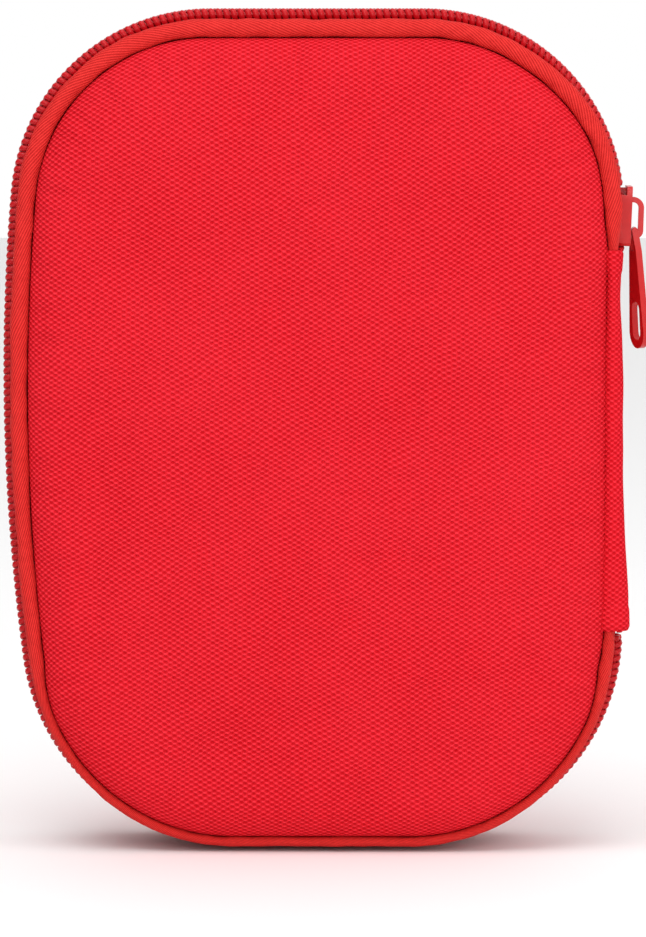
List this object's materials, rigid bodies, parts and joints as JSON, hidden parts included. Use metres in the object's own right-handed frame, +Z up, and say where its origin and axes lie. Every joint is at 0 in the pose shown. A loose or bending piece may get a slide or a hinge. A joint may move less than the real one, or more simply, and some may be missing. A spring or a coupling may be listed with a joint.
{
  "type": "zipped first aid pouch",
  "caption": "Upright padded fabric first aid pouch with piped edges and a zip round three sides, opening like a book on its spine to pockets of supplies.",
  "frame": {"origin": "middle of the overall width and depth at the height of the surface the closed case stands on", "axes": "+X across the case towards the spine, +Y from the front cover to the rear cover, +Z up"},
  "size_m": [0.1186, 0.041, 0.155],
  "materials": {
    "canvas": "plain woven polyester canvas, matt",
    "piping_tape": "bias cut twill tape, slight sheen",
    "cord": "spun cord",
    "foam": "soft closed cell foam",
    "lining": "thin woven nylon",
    "mesh": "knitted mesh",
    "elastic": "ribbed elastic",
    "zip_tape": "herringbone zip tape",
    "zip_coil": "nylon filament",
    "slider_paint": "baked enamel, satin",
    "gauze": "cotton gauze",
    "adhesive": "zinc oxide tape",
    "spool": "moulded",
    "paper": "plain wrapper",
    "carton": "plain card",
    "film": "clear film over blue gloves",
    "steel": "brushed"
  },
  "bodies": {
    "rear": {"rear_cover": "canvas", "rear_foam": "foam", "rear_lining": "lining", "rear_piping": "piping_tape", "rear_piping_cord": "cord", "rear_seam_binding": "zip_tape", "rear_zip_tape": "zip_tape", "rear_zip_coil": "zip_coil", "rear_pocket": "mesh", "rear_pocket_elastic": "elastic", "rear_spine_fold": "canvas", "bandage_band": "elastic", "bandage_roll_left": "gauze", "bandage_roll_right": "gauze", "adhesive_tape": "adhesive", "tape_core": "spool", "gauze_pads": "paper", "plaster_pack": "carton"},
    "spine": {"spine_panel": "canvas", "spine_lining": "lining", "zip_top_tape": "zip_tape", "zip_top_chain": "zip_coil", "zip_bottom_tape": "zip_tape", "zip_bottom_chain": "zip_coil"},
    "front": {"front_cover": "canvas", "front_foam": "foam", "front_lining": "lining", "front_piping": "piping_tape", "front_piping_cord": "cord", "front_seam_binding": "zip_tape", "front_zip_tape": "zip_tape", "front_zip_coil": "zip_coil", "front_pocket": "mesh", "front_pocket_elastic": "elastic", "front_spine_fold": "canvas", "triangular_bandage": "gauze", "glove_pack": "film", "leaflet": "paper", "tweezers": "steel", "tool_loops": "elastic", "scissors_fixed_half": "steel", "scissors_rivet": "steel"},
    "slider": {"slider_body": "slider_paint"},
    "pull": {"pull_tab": "slider_paint"},
    "scissors": {"scissors_moving_half": "steel"}
  },
  "joints": [
    {"name": "spine_fold", "type": "hinge", "parent": "rear", "child": "spine", "pos_m": [0.05475, 0.0125, 0.0775], "axis": [0, 0, 1], "range_deg": [0, 90]},
    {"name": "front_fold", "type": "hinge", "parent": "spine", "child": "front", "pos_m": [0.05475, -0.0125, 0.0775], "axis": [0, 0, 1], "range_deg": [0, 90]},
    {"name": "slider_travel", "type": "hinge", "parent": "spine", "child": "slider", "pos_m": [0.0187, 0, 0.118], "axis": [0, 1, 0], "range_deg": [-76, 0]},
    {"name": "pull_swing", "type": "hinge", "parent": "slider", "child": "pull", "pos_m": [0.05759, 0, 0.11416], "axis": [0, -1, 0], "range_deg": [0, 140]},
    {"name": "scissors_pivot", "type": "hinge", "parent": "front", "child": "scissors", "pos_m": [0.0222, -0.0073, 0.0895], "axis": [0, -1, 0], "range_deg": [0, 30]}
  ],
  "couplings": [
    {"joint": "front_fold", "follows": "spine_fold", "ratio": 1}
  ]
}
